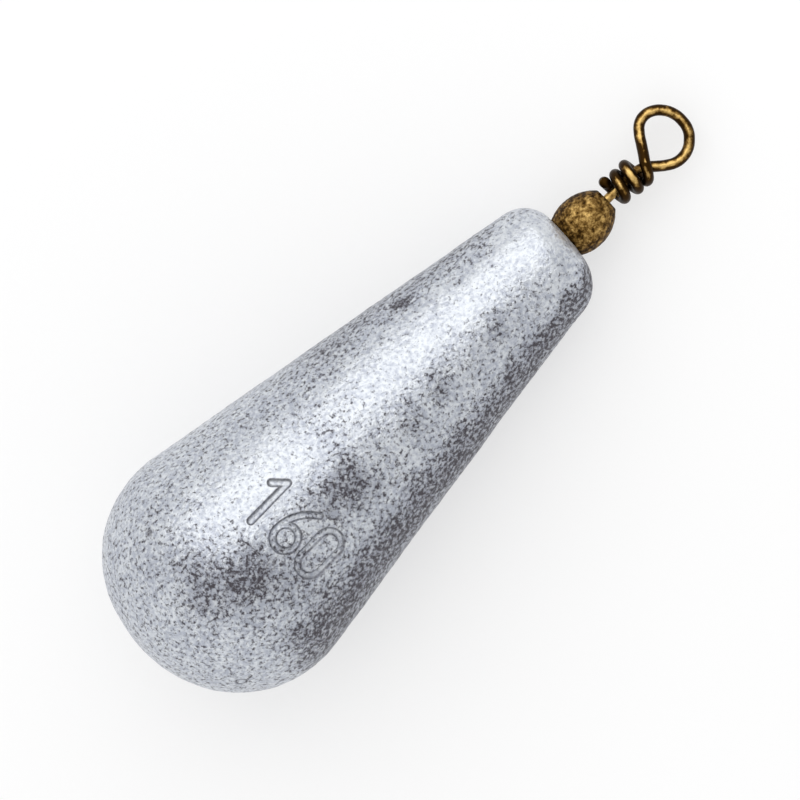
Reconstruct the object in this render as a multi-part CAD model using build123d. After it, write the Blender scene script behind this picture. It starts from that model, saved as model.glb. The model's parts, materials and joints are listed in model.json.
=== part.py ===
from build123d import *

import math
import os

# A pear-shaped cast lead sinker with a brass barrel swivel set into its narrow end.
# Every piece is drawn along +X, the sinker's own axis, with the round end at the origin,
# and is then laid on its straight side, the way a sinker lies on a table.
# All lengths are in millimetres and all angles in degrees.

# Lead weight
LEAD_LENGTH = 54.1
BELLY_DIAMETER = 24.1
BELLY_DISTANCE = 11.2  # round end to the widest place
TOP_DIAMETER = 10.3  # the straight side carried on to the top plane
SHOULDER_RADIUS = 3.6
CAP_ANGLE = 15.0  # from the axis to where the round end's cap runs into the belly arc
CAST_CLEARANCE = 0.03  # shrink gap between the lead and the swivel cast into it

# Weight number, recessed on the side that lies upwards
NUMBER_HEIGHT = 5.3
NUMBER_WIDTH = 2.9
NUMBER_STEP = 3.3  # middle of one digit to the middle of the next
NUMBER_STROKE = 0.55
NUMBER_DEPTH = 0.3
NUMBER_DISTANCE = 18.0  # round end to the middle of the number
NUMBER_CLOCKING = 9.0  # turn about the axis, away from the top
FLAG_SHARE = 0.2  # reach of the flag on the 1, against the digit's height
TAIL_SHARE = 0.3  # reach of the tail on the 6 past its middle, against the digit's width

# Swivel barrel
BARREL_LENGTH = 6.2
BARREL_DIAMETER = 5.2
BARREL_END_DIAMETER = 2.4
BARREL_WALL = 0.7
BARREL_SEAT_DEPTH = 1.2  # how far its lower end sits in the lead
SHANK_CLEARANCE = 0.06  # around the wire in the hole at each end

# Wire eyes, one on each end of the barrel
WIRE_DIAMETER = 0.86
HEAD_DIAMETER = 2.1  # ball that the barrel is crimped over
HEAD_PLAY = 0.1  # between that ball and the edge of the hole
EYE_OPENING = 4.0
EYE_OFFSET = 0.7  # loop to one side of the axis
LEG_ANGLE = 50.0  # legs of the loop, from the axis
WRAP_TURNS = 2.75
WRAP_GAP = 0.43  # between one wrap and the next, and between the wraps and the shank
WRAP_STANDOFF = 0.65  # barrel end to the last wrap

CUT_OVERRUN = 1.0
LOOP_STEPS = 3
POINTS_PER_ARC = 12

# Places along the axis
barrel_low = LEAD_LENGTH - BARREL_SEAT_DEPTH
barrel_middle = barrel_low + BARREL_LENGTH / 2
barrel_high = barrel_low + BARREL_LENGTH
hole_radius = WIRE_DIAMETER / 2 + SHANK_CLEARANCE

# The cap at the round end and the belly arc meet without a corner.
belly_radius = BELLY_DIAMETER / 2
cap_turn = math.radians(CAP_ANGLE)
cap_excess = (belly_radius - BELLY_DISTANCE) / (math.sin(cap_turn) + math.cos(cap_turn) - 1)
cap_radius = BELLY_DISTANCE + cap_excess * math.cos(cap_turn)
belly_arc = cap_radius - cap_excess
belly_centre = belly_radius - belly_arc

# The taper is the line from the top plane's rim that just touches the belly arc.
run = LEAD_LENGTH - BELLY_DISTANCE
rise = TOP_DIAMETER / 2 - belly_centre
taper = math.asin(belly_arc / math.hypot(run, rise)) - math.atan2(rise, run)
taper_degrees = math.degrees(taper)


def side_radius(distance):
    """Radius of the straight side, carried on to any distance from the round end."""
    return TOP_DIAMETER / 2 + (LEAD_LENGTH - distance) * math.tan(taper)


def turned(*outline):
    """Solid turned about the axis from an outline in the XY plane."""
    return revolve(make_face(Curve() + list(outline)), Axis.X)


def lead_solid(inset=0):
    """The lead's outside, or the same shape lying inset below its skin."""
    shoulder = min(SHOULDER_RADIUS, TOP_DIAMETER / 2)
    shoulder_x = LEAD_LENGTH - shoulder
    shoulder_y = side_radius(shoulder_x) - shoulder / math.cos(taper)
    side_turn = 90 - taper_degrees
    cap_end = 180 - CAP_ANGLE
    cap = CenterArc((cap_radius, 0), cap_radius - inset, 180, -CAP_ANGLE)
    belly = CenterArc((BELLY_DISTANCE, belly_centre), belly_arc - inset, cap_end, side_turn - cap_end)
    rim = CenterArc((shoulder_x, shoulder_y), shoulder - inset, side_turn, -side_turn)
    side = Line(belly @ 1, rim @ 0)
    return turned(cap, belly, side, rim, Polyline(rim @ 1, (LEAD_LENGTH - inset, 0), cap @ 0))


def stroke(line):
    """Round-ended stroke of the number along a line or an arc."""
    return SlotArc(line, NUMBER_STROKE)


def digit_one():
    """A 1: a stem and a flag."""
    half = (NUMBER_HEIGHT - NUMBER_STROKE) / 2
    flag = FLAG_SHARE * NUMBER_HEIGHT
    return stroke(Line((0, -half), (0, half))) + stroke(Line((0, half), (-flag, half - flag)))


def digit_six():
    """A 6: a round bowl with a tail that curves up and over."""
    bowl = NUMBER_WIDTH / 2
    middle = bowl - NUMBER_HEIGHT / 2
    ring = Circle(bowl) - Circle(bowl - NUMBER_STROKE)
    tail_start = (NUMBER_STROKE / 2 - bowl, middle)
    tail_end = (TAIL_SHARE * NUMBER_WIDTH, (NUMBER_HEIGHT - NUMBER_STROKE) / 2)
    return Pos(0, middle) * ring + stroke(TangentArc(tail_start, tail_end, tangent=(0, 1)))


def digit_nought():
    """A 0: a tall ring with straight sides."""
    outside = SlotOverall(NUMBER_HEIGHT, NUMBER_WIDTH, 90)
    return outside - SlotOverall(NUMBER_HEIGHT - 2 * NUMBER_STROKE, NUMBER_WIDTH - 2 * NUMBER_STROKE, 90)


def number_recess():
    """The digits 160 cut to an even depth in the lead, read with the swivel at the top."""
    face = Plane((NUMBER_DISTANCE, 0, 0), x_dir=(0, -1, 0), z_dir=(0, 0, 1))
    columns = []
    for place, digit in enumerate((digit_one, digit_six, digit_nought)):
        outline = Pos((place - 1) * NUMBER_STEP, 0) * digit()
        columns.append(extrude(face * outline, belly_radius + CUT_OVERRUN))
    return Rot(NUMBER_CLOCKING, 0, 0) * (Part() + columns - lead_solid(NUMBER_DEPTH))


def barrel_solid(grow=0):
    """The barrel's outside, or the same shape with every face moved out by grow."""
    half = BARREL_LENGTH / 2
    bulge = (BARREL_DIAMETER - BARREL_END_DIAMETER) / 2
    arc_radius = (half**2 + bulge**2) / (2 * bulge)
    arc_centre = BARREL_DIAMETER / 2 - arc_radius
    reach = half + grow
    middle = BARREL_DIAMETER / 2 + grow
    end = arc_centre + math.sqrt((arc_radius + grow) ** 2 - reach**2)
    outside = ThreePointArc((-reach, end), (0, middle), (reach, end))
    solid = turned(outside, Polyline(outside @ 1, (reach, 0), (-reach, 0), outside @ 0))
    return Pos(barrel_middle, 0, 0) * solid


def swivel_barrel():
    """Hollow brass barrel with a hole in each end for a wire."""
    hole = Cylinder(hole_radius, BARREL_LENGTH + CUT_OVERRUN)
    return barrel_solid() - barrel_solid(-BARREL_WALL) - Pos(barrel_middle, 0, 0) * Rot(0, 90, 0) * hole


def biarc(start, start_way, end, end_way):
    """Two arcs that leave start and reach end along the given unit directions."""
    across = end - start
    ways = start_way + end_way
    spread = 2 * (1 - start_way.dot(end_way))
    lean = across.dot(ways)
    if spread > 0:
        arm = (math.sqrt(lean**2 + spread * across.dot(across)) - lean) / spread
    else:
        arm = across.dot(across) / (2 * lean)
    joint = (start + end + (start_way - end_way) * arm) / 2
    first = TangentArc(start, joint, tangent=start_way)
    return [first, TangentArc(joint, end, tangent=first % 1)]


# The wire eye: a head in the barrel, a shank, a loop and the wraps back down round the shank
head_radius = HEAD_DIAMETER / 2
head_place = barrel_high - BARREL_WALL - math.sqrt((head_radius + HEAD_PLAY) ** 2 - hole_radius**2)
wrap_spacing = WIRE_DIAMETER + WRAP_GAP
wrap_radius = wrap_spacing
wrap_pitch = wrap_spacing / math.cos(math.asin(wrap_spacing / (2 * math.pi * wrap_radius)))
wrap_end = barrel_high + WRAP_STANDOFF + WIRE_DIAMETER / 2
crossing = wrap_end + WRAP_TURNS * wrap_pitch
loop_radius = (EYE_OPENING + WIRE_DIAMETER) / 2
loop_centre = crossing + loop_radius / math.sin(math.radians(LEG_ANGLE))


def loop_station(angle):
    """Point and direction of the wire in the loop, at an angle from the axis."""
    across, along = math.sin(math.radians(angle)), math.cos(math.radians(angle))
    point = Vector(loop_centre + loop_radius * along, EYE_OFFSET + loop_radius * across, 0)
    return point, Vector(-across, along, 0)


def wrap_station(turns):
    """Point and direction of the wire in the wraps, after some turns from the crossing in front."""
    angle = math.radians(90) + 2 * math.pi * turns
    across, up = math.cos(angle), math.sin(angle)
    point = Vector(crossing - wrap_pitch * turns, wrap_radius * across, wrap_radius * up)
    way = Vector(-wrap_pitch / (2 * math.pi), -wrap_radius * up, wrap_radius * across)
    return point, way.normalized()


def wire_arcs(grow=0):
    """The wire's centre line from the head to the cut end, and grow past it, as straight runs and arcs."""
    along = Vector(1, 0, 0)
    head = Vector(head_place, 0, 0)
    shank_end = Vector(crossing - WIRE_DIAMETER / 2, 0, 0)
    stations = [(shank_end, along)]
    loop_start = -90 - LEG_ANGLE
    for step in range(LOOP_STEPS + 1):
        stations.append(loop_station(loop_start - 2 * loop_start * step / LOOP_STEPS))
    for quarter in range(round(4 * WRAP_TURNS) + 1):
        stations.append(wrap_station(quarter / 4))
    arcs = [Line(head, shank_end)]
    for (start, start_way), (end, end_way) in zip(stations, stations[1:]):
        arcs.extend(biarc(start, start_way, end, end_way))
    last, last_way = stations[-1]
    arcs.append(Line(last, last + last_way * (WIRE_DIAMETER + grow)))
    return arcs


def wire_eye(grow=0):
    """The whole wire with its head, or the same with every face moved out by grow."""
    path = Wire(wire_arcs(grow))
    section = Plane(path @ 0, z_dir=path % 0) * Circle(WIRE_DIAMETER / 2 + grow)
    head = Pos(head_place, 0, 0) * Sphere(head_radius + grow)
    return sweep(section, path=path) + head


def least_wire_gap():
    """Least clear gap from the wire to itself, measured on points along its centre line."""
    points = []
    walked = 0
    for arc in wire_arcs():
        for step in range(POINTS_PER_ARC):
            share = step / POINTS_PER_ARC
            points.append((walked + share * arc.length, arc @ share))
        walked += arc.length
    apart = math.pi * wrap_radius
    return min(
        (there - here).length - WIRE_DIAMETER
        for index, (start, here) in enumerate(points)
        for end, there in points[index + 1 :]
        if end - start > apart
    )


def turned_round(piece):
    """The same piece on the other end of the barrel."""
    return Pos(2 * barrel_middle, 0, 0) * Rot(0, 0, 180) * piece


def lead_body():
    """The casting, with room for the swivel's lower half and the recessed number."""
    swivel = barrel_solid(CAST_CLEARANCE) + turned_round(wire_eye(CAST_CLEARANCE))
    return lead_solid() - swivel - number_recess()


# The straight side lies on the table, with the origin below the middle of the whole part.
lift = side_radius(0) * math.cos(taper)
low_end = cap_radius * (math.cos(taper) - 1)
far_end = (loop_centre + loop_radius) * math.cos(taper) + WIRE_DIAMETER / 2
lying = Pos(-(low_end + far_end) / 2, 0, lift) * Rot(0, taper_degrees, 0)

pieces = {
    "lead_body": lead_body(),
    "swivel_barrel": swivel_barrel(),
    "line_eye": wire_eye(),
    "anchor_eye": turned_round(wire_eye()),
}

os.makedirs("parts", exist_ok=True)
for name, piece in pieces.items():
    export_step(lying * piece, f"parts/{name}.step")

hinge = (lying * Pos(barrel_high, 0, 0)).position
print("least gap of the wire to itself", round(least_wire_gap(), 3))
print("tightest bend", round(min(arc.radius for arc in wire_arcs() if arc.geom_type == GeomType.CIRCLE), 3))
print("swivel axis through", hinge, "along", hinge - (lying * Pos(barrel_high - 1, 0, 0)).position)
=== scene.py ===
import json
import math

import bmesh
import bpy
from bpy.props import FloatProperty, FloatVectorProperty, IntProperty, PointerProperty
from mathutils import Matrix, Vector


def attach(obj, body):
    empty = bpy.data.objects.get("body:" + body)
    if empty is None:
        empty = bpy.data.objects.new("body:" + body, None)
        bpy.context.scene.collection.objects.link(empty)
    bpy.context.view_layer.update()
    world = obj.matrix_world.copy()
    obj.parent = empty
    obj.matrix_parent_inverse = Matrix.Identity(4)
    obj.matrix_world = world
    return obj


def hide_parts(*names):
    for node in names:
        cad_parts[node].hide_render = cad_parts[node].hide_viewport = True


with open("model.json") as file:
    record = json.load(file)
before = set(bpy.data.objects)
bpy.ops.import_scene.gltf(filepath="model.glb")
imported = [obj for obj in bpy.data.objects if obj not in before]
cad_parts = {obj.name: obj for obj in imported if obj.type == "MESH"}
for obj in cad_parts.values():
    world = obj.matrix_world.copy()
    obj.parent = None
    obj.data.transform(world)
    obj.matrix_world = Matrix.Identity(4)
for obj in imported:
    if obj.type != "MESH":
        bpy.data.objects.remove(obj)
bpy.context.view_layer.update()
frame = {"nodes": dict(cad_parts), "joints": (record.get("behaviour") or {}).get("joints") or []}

bl_info = {
    "name": "Pear Sinker",
    "version": (1, 0, 0),
    "blender": (4, 5, 0),
    "location": "3D View > Sidebar > Sinker",
    "description": "Models a cast lead sinker with a brass barrel swivel on its packed CAD frame",
    "category": "Add Mesh",
}

MM = 0.001
SWIVEL = frame["joints"][0]
AXIS_X, AXIS_Y = Vector((1, 0, 0)), Vector((0, 1, 0))
# Points closer than this are one point
MERGE = 0.002 * MM


def linear(code):
    """Linear red, green and blue of an sRGB hex colour."""
    values = [int(code[at : at + 2], 16) / 255 for at in (1, 3, 5)]
    return tuple(v / 12.92 if v <= 0.04045 else ((v + 0.055) / 1.055) ** 2.4 for v in values)


def length(name, description, millimetres):
    """A size in the panel, given in millimetres and kept in metres."""
    return FloatProperty(
        name=name, description=description, default=millimetres * MM, min=0, precision=5,
        subtype="DISTANCE", unit="LENGTH",
    )


def turn(name, description, degrees):
    """An angle in the panel, given in degrees."""
    return FloatProperty(
        name=name, description=description, default=math.radians(degrees), subtype="ANGLE", unit="ROTATION"
    )


def colour(name, description, code):
    """A colour in the panel, given as an sRGB hex value."""
    return FloatVectorProperty(
        name=name, description=description, default=linear(code), size=3, min=0, max=1, subtype="COLOR"
    )


class LeadSettings(bpy.types.PropertyGroup):
    """Sizes and colours of the cast lead weight."""

    length: length("Length", "Round end to the top plane", 54.1)
    belly_diameter: length("Belly", "Diameter at the widest place", 24.1)
    belly_distance: length("Belly Distance", "Round end to the widest place", 11.2)
    top_diameter: length("Top", "Straight side carried on to the top plane", 10.3)
    shoulder_radius: length("Shoulder", "Rounding between the side and the top", 3.6)
    cap_angle: turn("Cap Angle", "From the axis to where the end's cap runs into the belly arc", 15.0)
    pocket_lip: length("Pocket Lip", "Radius at which the top turns down around the barrel", 2.2)
    number_height: length("Number Height", "Height of a digit", 5.3)
    number_width: length("Number Width", "Width of a round digit", 2.9)
    number_step: length("Number Step", "Middle of one digit to the middle of the next", 3.3)
    number_stroke: length("Stroke", "Width of a stroke of the number", 0.55)
    number_depth: length("Depth", "Depth of the number", 0.3)
    number_distance: length("Number Distance", "Round end to the middle of the number", 18.0)
    number_clocking: turn("Number Clocking", "Turn of the number about the axis, away from the top", 9.0)
    rings: IntProperty(name="Rings", description="Steps round the axis", default=288, min=48)
    pale: colour("Pale Lead", "Clean cast skin", "#D9DDE2")
    dull: colour("Dull Lead", "Skin under a thin grey oxide", "#B0B5C1")
    # Oxide also gives the painted shade low on the right side and along the number's edges
    oxide: colour("Oxide", "Dark oxide in flecks and stains", "#4C494F")


class SwivelSettings(bpy.types.PropertyGroup):
    """Sizes and colours of the brass barrel swivel."""

    barrel_length: length("Barrel Length", "End to end", 6.2)
    barrel_diameter: length("Barrel", "Diameter at the middle", 5.2)
    barrel_end: length("Barrel End", "Diameter at each end", 2.4)
    barrel_wall: length("Wall", "Thickness of the barrel's wall", 0.7)
    seat_depth: length("Seat Depth", "How far the barrel sits in the lead", 1.2)
    hole_radius: length("Hole", "Radius of the hole at each end", 0.49)
    wire_diameter: length("Wire", "Diameter of the wire in the barrel's hole", 0.86)
    bent_diameter: length("Bent Wire", "Wire with its tarnish, in the loop and the wraps", 1.04)
    head_diameter: length("Head", "Ball that the barrel is crimped over", 2.1)
    head_distance: length("Head Distance", "Barrel's upper end down to the middle of the ball", 1.74)
    # Gold is also the painted highlight where the brass faces up
    gold: colour("Gold", "Rubbed brass", "#D9B570")
    brown: colour("Brown", "Aged brass", "#7A5C2E")
    # Dark is also the painted shade on the brass's sides
    dark: colour("Dark", "Tarnish in hollows", "#33210A")


class StageSettings(bpy.types.PropertyGroup):
    """Floor, light and camera."""

    floor_colour: colour("Floor", "Pale matt board", "#FAFAFA")
    floor_white: FloatProperty(
        name="Plain White", description="Share of the board that is seen as plain white", default=0.5,
        min=0, max=1, subtype="FACTOR",
    )
    key_power: FloatProperty(
        name="Key Power", description="Soft box above the left side", default=2.5, unit="POWER"
    )
    key_width: length("Key Width", "Soft box across the sinker", 850.0)
    key_height: length("Key Height", "Soft box along the sinker", 900.0)
    key_distance: length("Key Distance", "Soft box to the sinker", 700.0)
    key_lean: turn("Key Lean", "Soft box towards the left side", 34.0)
    key_reach: turn("Key Reach", "Soft box towards the line eye", 22.0)
    room_level: FloatProperty(
        name="Room", description="Brightness of the room all round", default=0.81, min=0
    )
    room_slant: FloatVectorProperty(
        name="Room Slant", description="How the room brightens along each axis", default=(-0.2, -0.08, 0.0),
        size=3, subtype="XYZ",
    )
    camera_distance: length("Camera Distance", "Lens to the sinker's axis", 600.0)
    frame_width: length("Frame Width", "Width of the picture at the axis", 73.2)
    aim_distance: length("Aim", "Round end to the middle of the picture", 32.79)
    roll: turn("Roll", "Slant of the sinker in the picture", 44.11)


class SinkerSettings(bpy.types.PropertyGroup):
    """All settings of the sinker."""

    lead: PointerProperty(type=LeadSettings, name="Lead", description="Cast lead weight")
    swivel: PointerProperty(type=SwivelSettings, name="Swivel", description="Brass barrel swivel")
    stage: PointerProperty(type=StageSettings, name="Stage", description="Floor, light and camera")


# The sinker's own frame: the axis runs from the round end towards the line eye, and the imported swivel
# joint gives its direction and the place of the barrel's upper end.
ALONG = Vector(SWIVEL["axis"]).normalized()
FACING = ALONG.cross(AXIS_Y)
TILT = math.atan2(-ALONG.z, ALONG.x)


def barrel_top(settings):
    """Distance from the round end to the barrel's upper end."""
    return settings.lead.length - settings.swivel.seat_depth + settings.swivel.barrel_length


def lying(settings):
    """Matrix from the sinker's own frame to where it lies."""
    start = Vector(SWIVEL["pos_m"]) - ALONG * barrel_top(settings)
    turned = Matrix((ALONG, AXIS_Y, FACING)).transposed().to_4x4()
    return Matrix.Translation(start) @ turned


def only(*pieces):
    """Selects these objects and nothing else; the first is active."""
    bpy.ops.object.select_all(action="DESELECT")
    for piece in pieces:
        piece.select_set(True)
    bpy.context.view_layer.objects.active = pieces[0]


def start_profile(name, point):
    """A new mesh in edit mode with a single vertex, from which a profile is drawn."""
    bpy.ops.object.select_all(action="DESELECT")
    bpy.ops.mesh.primitive_plane_add(size=MM, enter_editmode=True)
    bpy.context.object.name = name
    bpy.ops.mesh.select_mode(type="VERT")
    bpy.ops.mesh.select_all(action="SELECT")
    bpy.ops.mesh.merge(type="CENTER")
    bpy.ops.transform.translate(value=point)
    return bpy.context.object


def last_point():
    """The selected end of the profile."""
    mesh = bmesh.from_edit_mesh(bpy.context.object.data)
    return next(vertex.co.copy() for vertex in mesh.verts if vertex.select)


def draw_line(point, pieces=1):
    """Draws the profile straight on to a point, in equal pieces."""
    step = (Vector(point) - last_point()) / pieces
    for _ in range(pieces):
        bpy.ops.mesh.extrude_region_move(TRANSFORM_OT_translate={"value": step})


def draw_arc(centre, angle, pieces):
    """Draws the profile on round a centre; a positive angle goes from the round end over the top."""
    bpy.ops.mesh.spin(steps=pieces, angle=-angle, center=centre, axis=AXIS_Y)


def spin_profile(steps):
    """Turns the drawn profile round the axis and closes its seam and poles."""
    bpy.ops.mesh.select_all(action="SELECT")
    bpy.ops.mesh.spin(steps=steps, angle=2 * math.pi, center=(0, 0, 0), axis=AXIS_X)
    bpy.ops.mesh.select_all(action="SELECT")
    bpy.ops.mesh.remove_doubles(threshold=MERGE)
    bpy.ops.mesh.normals_make_consistent(inside=False)


def refine(chosen, cuts):
    """Divides the faces whose middle passes the test."""
    bpy.ops.mesh.select_mode(type="FACE")
    bpy.ops.mesh.select_all(action="DESELECT")
    mesh = bmesh.from_edit_mesh(bpy.context.object.data)
    for face in mesh.faces:
        face.select_set(chosen(face.calc_center_median()))
    bmesh.update_edit_mesh(bpy.context.object.data)
    bpy.ops.mesh.subdivide(number_cuts=cuts)


def apply_modifier(piece, kind, name, **settings):
    """Adds a modifier and applies it."""
    only(piece)
    made = piece.modifiers.new(name, kind)
    for key, value in settings.items():
        setattr(made, key, value)
    bpy.ops.object.modifier_apply(modifier=made.name)


def weigh(piece, name, weight):
    """A vertex group whose weights are worked out from each vertex's place."""
    group = piece.vertex_groups.new(name=name)
    for vertex in piece.data.vertices:
        value = weight(vertex.co)
        if value > 0:
            group.add([vertex.index], min(value, 1), "REPLACE")
    return group.name


def mark(piece, name, value):
    """A number kept at each vertex for the material to read."""
    attribute = piece.data.attributes.new(name, "FLOAT", "POINT")
    attribute.data.foreach_set("value", [value(vertex) for vertex in piece.data.vertices])


def clouds(name, millimetres):
    """Soft cloudy texture with lumps of the given size, for a modifier."""
    texture = bpy.data.textures.new(name, "CLOUDS")
    texture.noise_scale = millimetres * MM
    texture.noise_depth = 2
    return texture


def settle(piece, settings, material, body, node):
    """Lays a finished piece where the CAD has it, dresses it and ties it to its body."""
    only(piece)
    bpy.ops.object.shade_smooth()
    piece.matrix_world = lying(settings)
    bpy.ops.object.transform_apply(location=True, rotation=True, scale=True)
    piece.data.materials.clear()
    piece.data.materials.append(material)
    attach(piece, body)
    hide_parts(node)


def smooth(low, high, value):
    """0 below low, 1 above high and a smooth step between."""
    share = min(max((value - low) / (high - low), 0), 1)
    return share * share * (3 - 2 * share)


# Lead


class LeadShape:
    """The lead's outline, worked out from its settings as in the part's source."""

    def __init__(self, lead):
        self.lead = lead
        belly = lead.belly_diameter / 2
        sine, cosine = math.sin(lead.cap_angle), math.cos(lead.cap_angle)
        excess = (belly - lead.belly_distance) / (sine + cosine - 1)
        self.cap_radius = lead.belly_distance + excess * cosine
        self.belly_arc = self.cap_radius - excess
        self.belly_centre = belly - self.belly_arc
        run = lead.length - lead.belly_distance
        rise = lead.top_diameter / 2 - self.belly_centre
        self.taper = math.asin(self.belly_arc / math.hypot(run, rise)) - math.atan2(rise, run)
        self.shoulder_x = lead.length - lead.shoulder_radius
        self.shoulder_y = self.side(self.shoulder_x) - lead.shoulder_radius / math.cos(self.taper)

    def side(self, distance):
        """Radius of the straight side at a distance from the round end."""
        return self.lead.top_diameter / 2 + (self.lead.length - distance) * math.tan(self.taper)

    def radius(self, distance):
        """Radius of the lead at a distance from the round end, up to the shoulder."""
        if distance < self.cap_radius * (1 - math.cos(self.lead.cap_angle)):
            return math.sqrt(self.cap_radius**2 - (self.cap_radius - distance) ** 2)
        past = distance - self.lead.belly_distance
        if past < self.belly_arc * math.sin(self.taper):
            return self.belly_centre + math.sqrt(self.belly_arc**2 - past**2)
        return self.side(distance)


def to_segment(x, y, ax, ay, bx, by):
    """Distance from a point to a line between two others."""
    dx, dy = bx - ax, by - ay
    share = min(max(((x - ax) * dx + (y - ay) * dy) / (dx * dx + dy * dy), 0), 1)
    return math.hypot(x - ax - share * dx, y - ay - share * dy)


# Shapes of the digits: the one's flag as a share of the height, and how far past its middle the six's tail
# ends as a share of the width
FLAG_SHARE, TAIL_SHARE = 0.2, 0.3


def stroke_distance(lead, x, y):
    """Distance from a point of the number's face to the nearest stroke's edge, negative inside it."""
    half_stroke = lead.number_stroke / 2
    half = lead.number_height / 2 - half_stroke
    bowl = lead.number_width / 2 - half_stroke
    one = x + lead.number_step
    flag = FLAG_SHARE * lead.number_height
    stem = to_segment(one, y, 0, -half, 0, half)
    stem = min(stem, to_segment(one, y, 0, half, -flag, half - flag))
    six_y = y + half - bowl
    ring = abs(math.hypot(x, six_y) - bowl)
    end_x, end_y = TAIL_SHARE * lead.number_width + bowl, 2 * half - bowl
    bend = (end_x**2 + end_y**2) / (2 * end_x)
    from_x, from_y = x + bowl - bend, six_y
    if from_y >= 0 and -from_x * end_y >= (bend - end_x) * from_y:
        tail = abs(math.hypot(from_x, from_y) - bend)
    else:
        tail = min(math.hypot(x + bowl, six_y), math.hypot(x + bowl - end_x, six_y - end_y))
    nought = abs(to_segment(x - lead.number_step, y, 0, bowl - half, 0, half - bowl) - bowl)
    return min(stem, ring, tail, nought) - half_stroke


def number_face(lead, point):
    """A point in the number's own face: across, up and out."""
    sine, cosine = math.sin(lead.number_clocking), math.cos(lead.number_clocking)
    across = -(point.y * cosine + point.z * sine)
    return across, point.x - lead.number_distance, point.z * cosine - point.y * sine


# Steps in which each stretch of the lead's outline is drawn
CAP_STEPS, BELLY_STEPS, SIDE_STEPS, SHOULDER_STEPS = 14, 62, 132, 20
POCKET_WALL_STEPS, POCKET_FLOOR_STEPS = 4, 2
# Cuts in each face near the number and the pits
FINE_CUTS = 3

# Sizes that the mould, the pour and wear left on the lead, in millimetres.
# The pocket has room under the barrel's end and round it, and its lip is broken a little, down and in
SEAT_ROOM, END_ROOM = 0.05, 0.1
LIP_DROP, LIP_INSET = 0.08, 0.05
# A stroke's wall starts outside its edge and ends inside it, and oxide with painted shade darkens along the
# edge. Strokes are looked for up to a border round the number
WALL_START, WALL_END = 0.1, -0.16
CREASE_REACH, CREASE_FULL = 0.17, 0.03
NUMBER_BORDER = 0.4
# Pits, by distance from the round end and distance across: a round groove with half its width, and a chip
# with a flat middle that is a share of its reach
RING_PIT, CHIP_PIT = (4.65, -8.36), (8.2, 7.2)
PIT_REACH, PIT_DEPTH = 0.5, 0.12
GROOVE_HALF, CHIP_SHARE = 0.2, 0.3
# The mould's two halves meet at both sides, in a seam that runs out before the top
SEAM_HEIGHT, SEAM_REACH, SEAM_CREST = 0.05, 0.3, 0.05
SEAM_FULL, SEAM_END = 48.0, 53.0
# Soft swells and the finer skin: width and height
SWELL, SKIN = (7.0, 0.16), (1.4, 0.08)
# The poured top was trimmed a little askew: where that sets in and is full along the sinker, the distance
# across at which it is whole, how far it goes along, and how far the low edge is spread
TRIM_START, TRIM_FULL, TRIM_ACROSS = 46.0, 53.0, 5.0
TRIM, TRIM_SPREAD = 0.35, 0.22
# How dark the oxide and painted shade are along the strokes' edges, and the oxide on their floor
EDGE_OXIDE_AND_SHADE, FLOOR_OXIDE = 0.85, 0.1

# Tarnish and painted light on the lead, in millimetres.
# Stains, some of them also painted dark reflection across the belly and along the highlight's right border:
# distance from the round end, distance across, reach and strength
STAINS_AND_DARK_REFLECTIONS = (
    (8.8, -0.2, 3.0, 0.65),
    (12.0, -2.2, 3.2, 0.95),
    (14.4, -4.6, 3.0, 0.42),
    (21.6, -2.6, 2.0, 0.55),
    (24.2, -2.2, 2.4, 0.85),
    (32.0, -2.3, 1.5, 0.55),
    (36.0, -1.4, 1.4, 0.6),
    (39.4, 6.2, 1.1, 1.3),
    (43.8, -1.5, 1.4, 0.5),
    (31.5, 7.2, 2.0, 0.35),
    (26.4, 3.2, 3.4, 0.6),
)
# A spot has faded out at this many times its reach
STAIN_FADE = 1.6
# Bands along the sides: painted shade, a faint darkening and painted highlight. Each has steps, from one
# angle off the upper side to another in degrees and from one strength to another, and the two distances from
# the round end between which it sets in. Below zero, the skin is paler and less flecked, as a painted
# highlight where tarnish is rubbed away. Underneath, where the angles meet, every band has faded out
SIDE_BANDS = (
    # Painted shade, strong low on the right side, away from the light
    (((32, 55, 0.0, 0.88), (66, 86, 1.0, 0.75), (110, 170, 1.0, 0.0)), 7, 13),
    # Faint on the left
    (((-45, -68, 0.0, 0.36), (-170, -110, 0.0, 1.0)), 22, 33),
    # Painted highlight on the poured top, with tarnish rubbed off
    (((44, 16, 0.0, -0.4), (-170, -110, 0.0, 1.0)), 47, 51),
    # Painted highlight along the upper side, with tarnish rubbed off
    (((3, -9, 0.0, -0.5), (-29, -46, 1.0, 0.0)), 10, 17),
)
# Tarnish and painted light wander off their shapes by half of this each way
WANDER = 4.5
# What tarnish and painted shade do to the skin: more flecks, less frost and a grey veil; below zero the
# painted highlight makes it paler and less flecked
FLECK_GAIN, FROST_LOSS, VEIL = 0.15, 0.14, 0.34

# Patterns of the cast skin, in millimetres: grains and flecks of oxide are under half a millimetre wide, and
# drifts and wanderings a few millimetres
GRAIN_WIDTH, FLECK_WIDTH, DRIFT_WIDTH, WANDER_WIDTH = 0.4, 0.38, 3.0, 2.4
GRAIN_BUMP, DRIFT_BUMP = 0.12, 0.14
# Noise is read askew, so that its grid doesn't lie along the skin, and far from its origin, where noises of
# like width match each other
NOISE_PLACE, NOISE_TURN = (50.0, 30.0, 40.0), (0.5, 0.7, 0.3)


def on_skin(shape, distance, across):
    """Point on the lead's upper skin, from millimetres along and across."""
    radius = shape.radius(distance * MM)
    return Vector((distance * MM, across * MM, math.sqrt(max(radius**2 - (across * MM) ** 2, 0))))


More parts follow.
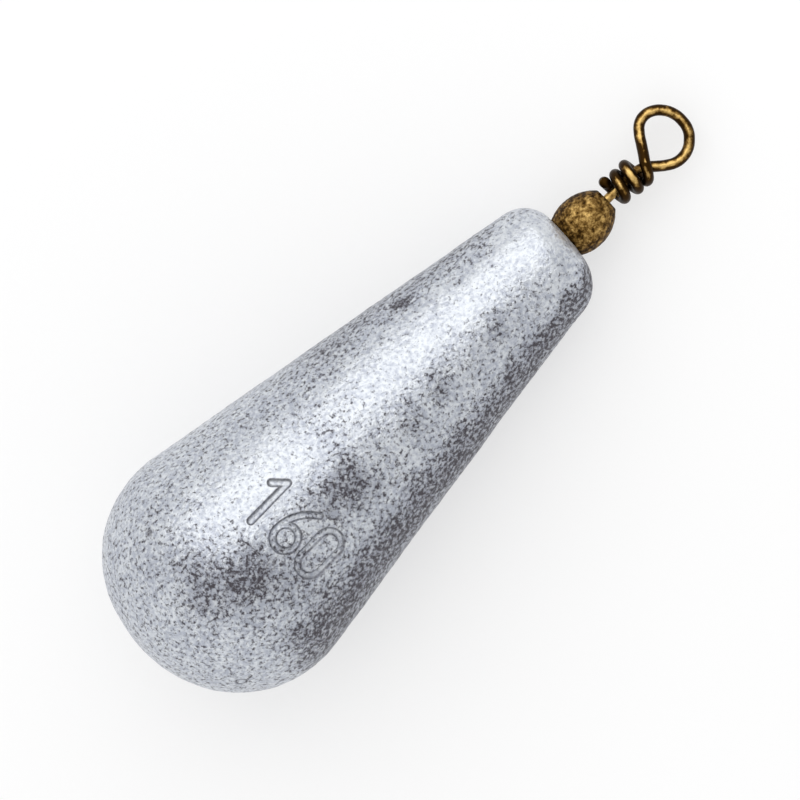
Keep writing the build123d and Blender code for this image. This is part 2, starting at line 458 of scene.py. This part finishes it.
def add(tree, kind, inputs=(), **settings):
    """Adds a node with its settings, and links or sets its inputs.

    A node that is given as an input lends its first enabled output.
    """
    made = tree.nodes.new(kind)
    for key, value in settings.items():
        setattr(made, key, value)
    for key, value in dict(inputs).items():
        if isinstance(value, bpy.types.Node):
            value = next(socket for socket in value.outputs if socket.enabled)
        if isinstance(value, bpy.types.NodeSocket):
            tree.links.new(value, made.inputs[key])
        else:
            made.inputs[key].default_value = value
    return made


def per_metre(millimetres):
    """Scale of a pattern whose parts are this wide."""
    return 1 / (millimetres * MM)


def new_material(name):
    """A material with an empty node tree."""
    material = bpy.data.materials.new(name)
    material.use_nodes = True
    material.node_tree.nodes.clear()
    return material, material.node_tree


def own_frame(tree, settings):
    """Vector along the sinker, across it and up from its axis, from the piece's Object coordinates."""
    coordinates = add(tree, "ShaderNodeTexCoord").outputs["Object"]
    start = lying(settings).translation
    return add(
        tree, "ShaderNodeMapping", {"Vector": coordinates, "Location": start, "Rotation": (0, TILT, 0)},
        vector_type="TEXTURE",
    )


def stains_and_dark_reflections(tree, settings, place):
    """The round spots of stain and painted dark reflection, each strongest in its middle."""
    shape = LeadShape(settings.lead)
    total = 0.0
    for distance, across, reach, strength in STAINS_AND_DARK_REFLECTIONS:
        middle = on_skin(shape, distance, across)
        gap = add(tree, "ShaderNodeVectorMath", {0: place, 1: middle}, operation="DISTANCE")
        fade = {"Value": gap, "From Max": STAIN_FADE * reach * MM, "To Min": strength, "To Max": 0.0}
        blot = add(tree, "ShaderNodeMapRange", fade, interpolation_type="SMOOTHSTEP")
        total = add(tree, "ShaderNodeMath", {0: total, 1: blot}, operation="MAXIMUM")
    return total


def side_bands(tree, place):
    """The bands along the sides: painted shade low on the right, a faint darkening on the left, and painted
    highlight on the upper side and the top, where tarnish is rubbed away.
    """
    parts = add(tree, "ShaderNodeSeparateXYZ", {"Vector": place}).outputs
    across = add(tree, "ShaderNodeMath", {0: parts["Y"], 1: -1.0}, operation="MULTIPLY")
    angle = add(tree, "ShaderNodeMath", {0: across, 1: parts["Z"]}, operation="ARCTAN2")
    total = 0.0
    for steps, start, finish in SIDE_BANDS:
        along = {"Value": parts["X"], "From Min": start * MM, "From Max": finish * MM}
        band = add(tree, "ShaderNodeMapRange", along, interpolation_type="SMOOTHSTEP")
        for first, last, low, high in steps:
            around = {
                "Value": angle, "From Min": math.radians(first), "From Max": math.radians(last),
                "To Min": low, "To Max": high,
            }
            step = add(tree, "ShaderNodeMapRange", around, interpolation_type="SMOOTHSTEP")
            band = add(tree, "ShaderNodeMath", {0: band, 1: step}, operation="MULTIPLY")
        total = add(tree, "ShaderNodeMath", {0: total, 1: band}, operation="ADD")
    return total


def cast_lead(settings):
    """Lead poured in a coated mould and left to tarnish.

    The eye sees a frosty pale grey skin of fine grains, with a low broken shine and oxide in dark flecks.
    Painted shade darkens it low on the right side and along the number's edges, and a painted highlight
    pales it along the upper side.
    """
    lead = settings.lead
    material, tree = new_material("gravity_cast_lead")
    place = own_frame(tree, settings)
    askew = add(
        tree, "ShaderNodeMapping",
        {"Vector": place, "Location": Vector(NOISE_PLACE) * MM, "Rotation": NOISE_TURN},
    )
    grain = add(
        tree, "ShaderNodeTexNoise",
        {"Vector": askew, "Scale": per_metre(GRAIN_WIDTH), "Detail": 2.0, "Roughness": 0.6},
    )
    fleck = add(
        tree, "ShaderNodeTexNoise",
        {"Vector": askew, "Scale": per_metre(FLECK_WIDTH), "Detail": 2.0, "Roughness": 0.7},
    )
    drift = add(
        tree, "ShaderNodeTexNoise",
        {"Vector": askew, "Scale": per_metre(DRIFT_WIDTH), "Detail": 3.0, "Roughness": 0.55},
    )
    shift = add(
        tree, "ShaderNodeTexNoise",
        {"Vector": askew, "Scale": per_metre(WANDER_WIDTH), "Detail": 2.0, "Roughness": 0.6},
    )
    shift = add(
        tree, "ShaderNodeVectorMath", {0: shift.outputs["Color"], 1: (0.5, 0.5, 0.5)}, operation="SUBTRACT"
    )
    wander = add(
        tree, "ShaderNodeVectorMath", {0: shift, 1: (WANDER * MM,) * 3, 2: place}, operation="MULTIPLY_ADD"
    )
    # Spots and bands: tarnish, painted shade low on the right and a painted highlight along the upper side
    spots, bands = stains_and_dark_reflections(tree, settings, wander), side_bands(tree, wander)
    tarnish_and_painted_light = add(tree, "ShaderNodeMath", {0: spots, 1: bands}, operation="ADD")

    # Where tarnish and painted shade have gone further, more of the skin is flecked, it is less frosty and a
    # veil lies on it; where the painted highlight lies, below zero, it is paler and less flecked
    reach = add(tree, "ShaderNodeMath", {0: tarnish_and_painted_light, 1: FLECK_GAIN, 2: fleck}, operation="MULTIPLY_ADD")
    flecked = add(tree, "ShaderNodeMapRange", {"Value": reach, "From Min": 0.507, "From Max": 0.69})
    frost = add(tree, "ShaderNodeMath", {0: drift, 1: 0.35, 2: grain}, operation="MULTIPLY_ADD")
    frost = add(tree, "ShaderNodeMath", {0: tarnish_and_painted_light, 1: -FROST_LOSS, 2: frost}, operation="MULTIPLY_ADD")
    frosted = add(tree, "ShaderNodeMapRange", {"Value": frost, "From Min": 0.53, "From Max": 0.83})
    skin = add(
        tree, "ShaderNodeMix", {"Factor": frosted, "A": (*lead.dull, 1), "B": (*lead.pale, 1)},
        data_type="RGBA",
    )
    veil = add(tree, "ShaderNodeMapRange", {"Value": tarnish_and_painted_light, "To Max": VEIL})
    skin = add(tree, "ShaderNodeMix", {"Factor": veil, "A": skin, "B": (*lead.oxide, 1)}, data_type="RGBA")

    # Oxide holds in the crevices too, better where there are flecks, and painted shade darkens the number's
    # stroke edges and the pits
    crevice_oxide_and_shade = add(tree, "ShaderNodeAttribute", attribute_name="crevice_oxide_and_shade").outputs["Fac"]
    held = add(
        tree, "ShaderNodeMapRange",
        {"Value": fleck, "From Min": 0.35, "From Max": 0.6, "To Min": 0.55, "To Max": 1.0},
    )
    creased = add(tree, "ShaderNodeMath", {0: crevice_oxide_and_shade, 1: held}, operation="MULTIPLY")
    dark = add(tree, "ShaderNodeMath", {0: flecked, 1: creased}, operation="MAXIMUM")
    finished = add(
        tree, "ShaderNodeMix", {"Factor": dark, "A": skin, "B": (*lead.oxide, 1)}, data_type="RGBA"
    )

    rough = add(tree, "ShaderNodeMapRange", {"Value": dark, "To Min": 0.36, "To Max": 0.55})
    rolling = add(
        tree, "ShaderNodeBump", {"Height": drift, "Distance": DRIFT_BUMP * MM, "Strength": 1.0}
    )
    sandy = add(
        tree, "ShaderNodeBump",
        {"Height": grain, "Distance": GRAIN_BUMP * MM, "Strength": 1.0, "Normal": rolling},
    )
    shader = add(
        tree, "ShaderNodeBsdfPrincipled",
        {"Base Color": finished, "Roughness": rough, "Metallic": 0.7, "Normal": sandy},
    )
    add(tree, "ShaderNodeOutputMaterial", {"Surface": shader})
    return material


class SINKER_OT_lead_casting(bpy.types.Operator):
    """Models the pear-shaped lead with its recessed number"""

    bl_idname = "sinker.lead_casting"
    bl_label = "Lead Casting"

    def execute(self, context):
        settings = context.scene.sinker
        lead, swivel = settings.lead, settings.swivel
        shape = LeadShape(lead)
        casting = start_profile("lead_casting", (0, 0, 0))
        draw_arc((shape.cap_radius, 0, 0), lead.cap_angle, CAP_STEPS)
        belly_turn = math.pi / 2 - lead.cap_angle + shape.taper
        draw_arc((lead.belly_distance, 0, shape.belly_centre), belly_turn, BELLY_STEPS)
        sine, cosine = math.sin(shape.taper), math.cos(shape.taper)
        side_end = shape.shoulder_x + lead.shoulder_radius * sine
        draw_line((side_end, 0, shape.shoulder_y + lead.shoulder_radius * cosine), SIDE_STEPS)
        lip_turn = math.asin((lead.pocket_lip - shape.shoulder_y) / lead.shoulder_radius)
        shoulder_turn = math.pi / 2 - shape.taper - lip_turn
        draw_arc((shape.shoulder_x, 0, shape.shoulder_y), shoulder_turn, SHOULDER_STEPS)
        # The pocket that the barrel sits in
        floor = lead.length - swivel.seat_depth - SEAT_ROOM * MM
        draw_line((lead.length - LIP_DROP * MM, 0, lead.pocket_lip - LIP_INSET * MM))
        draw_line((floor, 0, swivel.barrel_end / 2 + END_ROOM * MM), POCKET_WALL_STEPS)
        draw_line((floor, 0, 0), POCKET_FLOOR_STEPS)
        spin_profile(lead.rings)

        half_wide = lead.number_step + lead.number_width / 2 + NUMBER_BORDER * MM
        half_high = lead.number_height / 2 + NUMBER_BORDER * MM
        ring_pit, chip_pit = on_skin(shape, *RING_PIT), on_skin(shape, *CHIP_PIT)
        pit_reach = PIT_REACH * MM

        def in_number(point):
            across, up, out = number_face(lead, point)
            return abs(across) < half_wide and abs(up) < half_high and out > 0

        def in_pit(point):
            return min((point - ring_pit).length, (point - chip_pit).length) < 2 * pit_reach

        refine(in_number, FINE_CUTS)
        refine(in_pit, FINE_CUTS)
        bpy.ops.object.mode_set(mode="OBJECT")

        def edge_distance(point):
            if not in_number(point):
                return lead.number_height
            across, up, _ = number_face(lead, point)
            return stroke_distance(lead, across, up)

        def number_weight(point):
            return smooth(WALL_START * MM, WALL_END * MM, edge_distance(point))

        def pit_weight(point):
            ring = smooth(GROOVE_HALF * MM, 0.0, abs((point - ring_pit).length - pit_reach))
            chip = smooth(pit_reach, CHIP_SHARE * pit_reach, (point - chip_pit).length)
            return max(ring, chip)

        def seam_weight(point):
            near = smooth(SEAM_REACH * MM, SEAM_CREST * MM, abs(point.z))
            return near * smooth(SEAM_END * MM, SEAM_FULL * MM, point.x)

        def top_weight(point):
            return smooth(TRIM_START * MM, TRIM_FULL * MM, point.x) * abs(point.y) / (TRIM_ACROSS * MM)

        def crevice_oxide_and_shade(vertex):
            edge = smooth(CREASE_REACH * MM, CREASE_FULL * MM, abs(edge_distance(vertex.co)))
            return max(EDGE_OXIDE_AND_SHADE * edge, FLOOR_OXIDE * number_weight(vertex.co), pit_weight(vertex.co))

        number = weigh(casting, "number", number_weight)
        high_side = weigh(casting, "high_side", lambda point: top_weight(point) if point.y > 0 else 0)
        low_side = weigh(casting, "low_side", lambda point: top_weight(point) if point.y < 0 else 0)
        pit = weigh(casting, "pit", pit_weight)
        seam = weigh(casting, "seam", seam_weight)
        mark(casting, "crevice_oxide_and_shade", crevice_oxide_and_shade)

        for name, group, rise in (
            ("number", number, -lead.number_depth),
            ("pits", pit, -PIT_DEPTH * MM),
            ("seam", seam, SEAM_HEIGHT * MM),
        ):
            apply_modifier(casting, "DISPLACE", name, vertex_group=group, strength=rise, mid_level=0)
        width, height = SWELL
        apply_modifier(
            casting, "DISPLACE", "swell", texture=clouds("casting_swell", width), strength=height * MM,
            mid_level=0.75,
        )
        for name, group, way, shift in (
            ("high_side", high_side, "X", TRIM * MM),
            ("low_side", low_side, "X", -TRIM * MM),
            ("low_edge", low_side, "Y", -TRIM_SPREAD * MM),
        ):
            apply_modifier(
                casting, "DISPLACE", name, vertex_group=group, direction=way, strength=shift, mid_level=0
            )
        width, height = SKIN
        apply_modifier(
            casting, "DISPLACE", "skin", texture=clouds("mould_skin", width), strength=height * MM,
            mid_level=0.7,
        )
        settle(casting, settings, cast_lead(settings), "sinker", "lead_body")
        return {"FINISHED"}


# Swivel


# Finishes of the brass: width of its blotches and height of its bumps in millimetres, how much rubbing and
# the painted highlight bring out the gold, and roughness where it is rubbed
BARREL_FINISH = {"lump": 0.45, "bump": 0.15, "wear_and_sheen_gain": 0.11, "roughness": 0.48}
WIRE_FINISH = {"lump": 0.6, "bump": 0.02, "wear_and_sheen_gain": 0.36, "roughness": 0.3}
# Tarnish is rougher than rubbed brass by this much
TARNISH_ROUGHNESS = 0.15


def aged_brass(settings, name, lump, bump, wear_and_sheen_gain, roughness):
    """Brass that was drawn or pressed and has aged.

    The eye sees brown metal under dark tarnish that stays in the hollows, rubbed to gold on high spots. Gold
    is also painted as a highlight where the brass faces up, and dark as painted shade on its sides.
    """
    swivel = settings.swivel
    material, tree = new_material(name)
    place = own_frame(tree, settings)
    blotch = add(
        tree, "ShaderNodeTexNoise",
        {"Vector": place, "Scale": per_metre(lump), "Detail": 4.0, "Roughness": 0.65},
    )
    wear_and_sheen = add(tree, "ShaderNodeAttribute", attribute_name="wear_and_sheen").outputs["Fac"]
    lift = add(tree, "ShaderNodeMath", {0: wear_and_sheen, 1: wear_and_sheen_gain, 2: blotch}, operation="MULTIPLY_ADD")
    deep = add(tree, "ShaderNodeMapRange", {"Value": lift, "From Min": 0.44, "From Max": 0.56})
    bright = add(tree, "ShaderNodeMapRange", {"Value": lift, "From Min": 0.57, "From Max": 0.78})
    body = add(
        tree, "ShaderNodeMix", {"Factor": deep, "A": (*swivel.dark, 1), "B": (*swivel.brown, 1)},
        data_type="RGBA",
    )
    finished = add(
        tree, "ShaderNodeMix", {"Factor": bright, "A": body, "B": (*swivel.gold, 1)}, data_type="RGBA"
    )
    tarnished = roughness + TARNISH_ROUGHNESS
    rough = add(
        tree, "ShaderNodeMapRange",
        {"Value": lift, "From Min": 0.42, "From Max": 0.84, "To Min": tarnished, "To Max": roughness},
    )
    raised = add(tree, "ShaderNodeBump", {"Height": blotch, "Distance": bump * MM, "Strength": 1.0})
    shader = add(
        tree, "ShaderNodeBsdfPrincipled",
        {"Base Color": finished, "Roughness": rough, "Metallic": 1.0, "Normal": raised},
    )
    add(tree, "ShaderNodeOutputMaterial", {"Surface": shader})
    return material


# Steps of the barrel's outline and round its axis
BARREL_END_STEPS, BARREL_SIDE_STEPS, BARREL_RINGS = 6, 80, 128
# Pebbles on the barrel, in millimetres: width and height, and the distances from the axis between which they
# set in, so that the holes stay round
PEBBLE_WIDTH, PEBBLE_HEIGHT = 0.34, 0.07
PEBBLE_START, PEBBLE_FULL = 0.55, 1.2
# Strengths on the barrel: rubbing with a painted highlight where it faces up, from a slant on, and tarnish
# with painted shade all over. Both set in over a distance from the lead, in millimetres
BARREL_WEAR_AND_SHEEN, BARREL_SLANT, BARREL_TARNISH_AND_SHADE = 1.6, 0.2, 0.5
BARREL_SET_IN_REACH = 2.4


class SINKER_OT_swivel_barrel(bpy.types.Operator):
    """Models the hollow brass barrel set into the lead"""

    bl_idname = "sinker.swivel_barrel"
    bl_label = "Swivel Barrel"

    def execute(self, context):
        settings = context.scene.sinker
        swivel = settings.swivel
        high = barrel_top(settings)
        middle = high - swivel.barrel_length / 2
        half = swivel.barrel_length / 2
        bulge = (swivel.barrel_diameter - swivel.barrel_end) / 2
        arc_radius = (half**2 + bulge**2) / (2 * bulge)
        half_turn = math.asin(half / arc_radius)
        barrel = start_profile("brass_barrel", (middle - half, 0, swivel.hole_radius))
        draw_line((middle - half, 0, swivel.barrel_end / 2), BARREL_END_STEPS)
        draw_arc((middle, 0, swivel.barrel_diameter / 2 - arc_radius), 2 * half_turn, BARREL_SIDE_STEPS)
        draw_line((high, 0, swivel.hole_radius), BARREL_END_STEPS)
        spin_profile(BARREL_RINGS)
        bpy.ops.object.mode_set(mode="OBJECT")

        def open_weight(point):
            return smooth(PEBBLE_START * MM, PEBBLE_FULL * MM, math.hypot(point.y, point.z))

        pebble = weigh(barrel, "pebble", open_weight)
        apply_modifier(
            barrel, "DISPLACE", "pebbles", vertex_group=pebble, texture=clouds("pebbles", PEBBLE_WIDTH),
            strength=PEBBLE_HEIGHT * MM, mid_level=0.6,
        )
        apply_modifier(barrel, "SOLIDIFY", "wall", thickness=swivel.barrel_wall, offset=-1)
        rim = settings.lead.length

        def wear_and_sheen(vertex):
            clear = smooth(rim, rim + BARREL_SET_IN_REACH * MM, vertex.co.x)
            # Gold where the barrel faces up is a painted highlight; the tarnish on the rest is partly
            # painted shade
            return clear * (BARREL_WEAR_AND_SHEEN * smooth(BARREL_SLANT, 1.0, vertex.normal.z) - BARREL_TARNISH_AND_SHADE)

        mark(barrel, "wear_and_sheen", wear_and_sheen)
        brass = aged_brass(settings, "pebbled_brass", **BARREL_FINISH)
        settle(barrel, settings, brass, "sinker", "swivel_barrel")
        return {"FINISHED"}


# Centre line of the loop from the shank round to the crossing, in millimetres: along, across and up from
# the axis
LOOP = (
    (62.6, 0.0, 0.0), (63.25, -0.06, 0.0), (63.9, -0.45, 0.0), (64.55, -1.0, 0.0), (65.22, -1.52, 0.0),
    (65.98, -1.93, 0.0), (66.8, -2.05, 0.0), (67.66, -1.85, 0.0), (68.37, -1.33, 0.0), (68.92, -0.58, 0.0),
    (69.12, 0.42, 0.0), (69.0, 1.4, 0.0), (68.55, 2.25, 0.0), (67.85, 2.87, 0.0), (67.0, 3.13, 0.0),
    (66.2, 2.95, 0.03), (65.5, 2.3, 0.16), (64.9, 1.4, 0.45), (64.38, 0.62, 0.84),
)
# Wraps round the shank, in millimetres: turns from the crossing in front, along, and distance from the axis
WRAPS = (
    (0.0, 63.95, 1.14), (0.25, 63.02, 1.34), (0.5, 62.72, 1.2), (0.75, 62.46, 1.14), (1.0, 62.2, 1.18),
    (1.25, 61.9, 1.28), (1.5, 61.6, 1.14), (1.75, 61.27, 1.12), (2.0, 60.86, 1.12), (2.25, 60.42, 1.06),
    (2.5, 60.22, 1.12), (2.75, 60.08, 1.3), (2.84, 60.08, 1.42),
)
# The shank's straight run from its head, in millimetres, and how many of the path's points keep its plain
# diameter
SHANK_RUN, SHANK_POINTS = 2.5, 4
# Where two points of the wraps are more turns apart than this, a third goes between them
LONG_STEP = 0.2
# Rubbing of the wire, in millimetres. The shank, which lies within a reach of the axis, is gold up to one
# distance along and brown from another
SHANK_REACH, SHANK_GOLD, SHANK_BROWN = 0.6, 60.0, 60.6
# The loop is browner towards its far end
FAR_START, FAR_FULL = 66.6, 68.2
# The wire is dark where it crosses over the shank: distances along, and heights above the axis
CROSS_START, CROSS_FULL = 64.9, 64.1
CROSS_LOW, CROSS_HIGH = 0.2, 0.6
# The wraps are rubbed, with painted highlights, below the crossing, where they stand furthest out: distances
# along, and from the axis
WRAP_START, WRAP_FULL = 63.9, 63.3
WRAP_LOW, WRAP_HIGH = 1.54, 1.68
# Strengths: rubbing with a painted highlight where the wire faces up or down, from a slant on, and tarnish
# with painted shade all over
LOOP_WEAR_AND_SHEEN, LOOP_SLANT, LOOP_TARNISH_AND_SHADE = 1.45, 0.86, 0.35
WRAP_WEAR_AND_SHEEN, WRAP_SLANT, WRAP_TARNISH_AND_SHADE = 1.6, 0.6, 0.6
SHANK_RUB, FAR_LOSS, CROSS_TARNISH = 0.5, 0.35, 0.7
# Steps of the bent wire and of the ball on its end
WIRE_STEPS, WIRE_ROUND_STEPS = 8, 6
HEAD_SEGMENTS, HEAD_RINGS = 32, 16


def beside_shank(turns, along, reach):
    """Point round the shank: turns from the front, and millimetres along and from the axis."""
    angle = math.pi / 2 + 2 * math.pi * turns
    return Vector((along, reach * math.cos(angle), reach * math.sin(angle))) * MM


def wire_path(settings):
    """Centre line of the line eye's wire, from its head to its cut end."""
    head = barrel_top(settings) - settings.swivel.head_distance
    points = [Vector((head, 0, 0)), Vector((head + SHANK_RUN * MM, 0, 0))]
    points.extend(Vector(point) * MM for point in LOOP)
    for (start, from_x, from_r), (end, to_x, to_r) in zip(WRAPS, WRAPS[1:]):
        parts = 2 if end - start > LONG_STEP else 1
        for part in range(parts):
            share = part / parts
            along = from_x + share * (to_x - from_x)
            reach = from_r + smooth(0, 1, share) * (to_r - from_r)
            points.append(beside_shank(start + share * (end - start), along, reach))
    points.append(beside_shank(*WRAPS[-1]))
    return points


class SINKER_OT_line_eye(bpy.types.Operator):
    """Models the wire eye that turns in the barrel, with its loop wound round its shank"""

    bl_idname = "sinker.line_eye"
    bl_label = "Line Eye"

    def execute(self, context):
        settings = context.scene.sinker
        swivel = settings.swivel
        points = wire_path(settings)
        bpy.ops.object.select_all(action="DESELECT")
        bpy.ops.curve.primitive_bezier_curve_add(radius=MM)
        wire = context.object
        wire.name = "wire_eye"
        spline = wire.data.splines[0]
        spline.bezier_points.add(len(points) - len(spline.bezier_points))
        for index, (knot, point) in enumerate(zip(spline.bezier_points, points)):
            knot.co = point
            knot.radius = 1 if index < SHANK_POINTS else swivel.bent_diameter / swivel.wire_diameter
            knot.handle_left_type = knot.handle_right_type = "AUTO"
        spline.resolution_u = WIRE_STEPS
        wire.data.dimensions = "3D"
        wire.data.bevel_depth = swivel.wire_diameter / 2
        wire.data.bevel_resolution = WIRE_ROUND_STEPS
        wire.data.use_fill_caps = True
        only(wire)
        bpy.ops.object.convert(target="MESH")
        bpy.ops.object.select_all(action="DESELECT")
        bpy.ops.mesh.primitive_uv_sphere_add(
            segments=HEAD_SEGMENTS, ring_count=HEAD_RINGS, radius=swivel.head_diameter / 2,
            location=points[0],
        )
        head = context.object
        only(wire, head)
        bpy.ops.object.join()
        bpy.ops.object.mode_set(mode="EDIT")
        bpy.ops.mesh.select_all(action="SELECT")
        bpy.ops.mesh.remove_doubles(threshold=MERGE)
        bpy.ops.mesh.normals_make_consistent(inside=False)
        bpy.ops.object.mode_set(mode="OBJECT")
        crossing = WRAPS[0][1] * MM

        def wear_and_sheen(vertex):
            place, facing = vertex.co, abs(vertex.normal.z)
            if place.x > crossing:
                spared = 1 - FAR_LOSS * smooth(FAR_START * MM, FAR_FULL * MM, place.x)
                crossed = smooth(CROSS_START * MM, CROSS_FULL * MM, place.x)
                crossed *= smooth(CROSS_LOW * MM, CROSS_HIGH * MM, place.z)
                # Gold where the loop faces up or down is a painted highlight; its darker sides are partly
                # painted shade
                rubbed_and_lit = LOOP_WEAR_AND_SHEEN * spared * smooth(LOOP_SLANT, 1.0, facing)
                return rubbed_and_lit - LOOP_TARNISH_AND_SHADE - CROSS_TARNISH * crossed
            out = math.hypot(place.y, place.z)
            if out < SHANK_REACH * MM:
                return SHANK_RUB * smooth(SHANK_BROWN * MM, SHANK_GOLD * MM, place.x)
            past = smooth(WRAP_START * MM, WRAP_FULL * MM, place.x)
            high = smooth(WRAP_LOW * MM, WRAP_HIGH * MM, out)
            # Gold glints on the wraps' outer, upward faces are painted highlights; the rest is tarnish and
            # painted shade
            return WRAP_WEAR_AND_SHEEN * past * high * smooth(WRAP_SLANT, 1.0, facing) - WRAP_TARNISH_AND_SHADE

        mark(wire, "wear_and_sheen", wear_and_sheen)
        brass = aged_brass(settings, "drawn_brass_wire", **WIRE_FINISH)
        settle(wire, settings, brass, "eye", "line_eye")
        return {"FINISHED"}


class SINKER_OT_anchor_eye(bpy.types.Operator):
    """Dresses the lower eye, which is sealed in the lead, as the wire that it is"""

    bl_idname = "sinker.anchor_eye"
    bl_label = "Anchor Eye"

    def execute(self, context):
        anchor = frame["nodes"]["anchor_eye"]
        anchor.data.materials.clear()
        anchor.data.materials.append(aged_brass(context.scene.sinker, "sealed_brass_wire", **WIRE_FINISH))
        return {"FINISHED"}


# Stage

# Side of the floor, and the nearest and the furthest that the camera sees, in metres
FLOOR_SIDE, NEAREST, FURTHEST = 4.0, 0.01, 20.0
# Width of the camera's sensor, in millimetres as Blender has it
SENSOR = 36.0


class SINKER_OT_stage(bpy.types.Operator):
    """Sets the pale floor, the soft light and the camera"""

    bl_idname = "sinker.stage"
    bl_label = "Stage"

    def execute(self, context):
        settings = context.scene.sinker
        stage = settings.stage
        bpy.ops.object.select_all(action="DESELECT")
        bpy.ops.mesh.primitive_plane_add(size=FLOOR_SIDE)
        floor = context.object
        floor.name = "floor"
        # Matt painted board gives an even pale ground with no shine. It is seen, and shown by metal, whiter
        # than the light alone makes it, and keeps the shadow
        material, tree = new_material("matt_board")
        board = add(
            tree, "ShaderNodeBsdfPrincipled", {"Base Color": (*stage.floor_colour, 1), "Roughness": 0.9}
        )
        white = add(tree, "ShaderNodeEmission", {"Color": (1, 1, 1, 1), "Strength": 1.0})
        rays = add(tree, "ShaderNodeLightPath").outputs
        seen = rays["Is Camera Ray"]
        for other in ("Is Glossy Ray", "Is Transmission Ray"):
            seen = add(tree, "ShaderNodeMath", {0: seen, 1: rays[other]}, operation="MAXIMUM")
        share = add(tree, "ShaderNodeMath", {0: seen, 1: stage.floor_white}, operation="MULTIPLY")
        mixed = add(tree, "ShaderNodeMixShader", {0: share, 1: board, 2: white})
        add(tree, "ShaderNodeOutputMaterial", {"Surface": mixed})
        floor.data.materials.append(material)

        place = lying(settings)
        aim = place @ Vector((stage.aim_distance, 0, 0))
        key_way = FACING + AXIS_Y * math.tan(stage.key_lean) + ALONG * math.tan(stage.key_reach)
        key_way.normalize()
        bpy.ops.object.light_add(type="AREA", location=aim + key_way * stage.key_distance)
        key = context.object
        key.name = "key_box"
        key.data.shape = "RECTANGLE"
        key.data.size, key.data.size_y = stage.key_height, stage.key_width
        key.data.energy = stage.key_power
        key_along = (ALONG - key_way * ALONG.dot(key_way)).normalized()
        key_turned = Matrix((key_along, key_way.cross(key_along), key_way)).transposed()
        key.rotation_euler = key_turned.to_euler()

        world = bpy.data.worlds.new("studio_room")
        world.use_nodes = True
        tree = world.node_tree
        tree.nodes.clear()
        way = add(tree, "ShaderNodeTexCoord").outputs["Generated"]
        slant = add(tree, "ShaderNodeVectorMath", {0: way, 1: stage.room_slant}, operation="DOT_PRODUCT")
        level = add(tree, "ShaderNodeMath", {0: slant, 1: stage.room_level}, operation="ADD")
        glow = add(tree, "ShaderNodeBackground", {"Color": (1, 1, 1, 1), "Strength": level})
        add(tree, "ShaderNodeOutputWorld", {"Surface": glow})
        context.scene.world = world

        sine, cosine = math.sin(stage.roll), math.cos(stage.roll)
        right = ALONG * cosine - AXIS_Y * sine
        up = ALONG * sine + AXIS_Y * cosine
        turned = Matrix((right, up, FACING)).transposed().to_4x4()
        bpy.ops.object.camera_add()
        camera = context.object
        camera.name = "camera"
        camera.matrix_world = Matrix.Translation(aim + FACING * stage.camera_distance) @ turned
        camera.data.sensor_width = SENSOR
        camera.data.lens = SENSOR * stage.camera_distance / stage.frame_width
        camera.data.clip_start, camera.data.clip_end = NEAREST, FURTHEST
        context.scene.camera = camera
        context.scene.view_settings.view_transform = "Standard"
        return {"FINISHED"}


class SINKER_PT_panel(bpy.types.Panel):
    """Lists the sinker's pieces and settings"""

    bl_label = "Sinker"
    bl_idname = "SINKER_PT_panel"
    bl_space_type = "VIEW_3D"
    bl_region_type = "UI"
    bl_category = "Sinker"

    def draw(self, context):
        settings = context.scene.sinker
        for operator in OPERATORS:
            self.layout.operator(operator.bl_idname)
        for group in (settings.lead, settings.swivel, settings.stage):
            box = self.layout.box()
            for key in group.__annotations__:
                box.prop(group, key)


OPERATORS = (
    SINKER_OT_lead_casting, SINKER_OT_swivel_barrel, SINKER_OT_line_eye, SINKER_OT_anchor_eye,
    SINKER_OT_stage,
)
CLASSES = (LeadSettings, SwivelSettings, StageSettings, SinkerSettings, *OPERATORS, SINKER_PT_panel)


def register():
    """Registers the classes and the settings on the scene."""
    for made in CLASSES:
        bpy.utils.register_class(made)
    bpy.types.Scene.sinker = PointerProperty(
        type=SinkerSettings, name="Sinker", description="Settings of the sinker"
    )


def unregister():
    """Takes the settings and the classes away again."""
    del bpy.types.Scene.sinker
    for made in reversed(CLASSES):
        bpy.utils.unregister_class(made)


def main():
    """Registers the classes, makes every piece in order and sets the stage."""
    register()
    bpy.ops.sinker.lead_casting()
    bpy.ops.sinker.swivel_barrel()
    bpy.ops.sinker.line_eye()
    bpy.ops.sinker.anchor_eye()
    bpy.ops.sinker.stage()


if __name__ == "__main__":
    main()
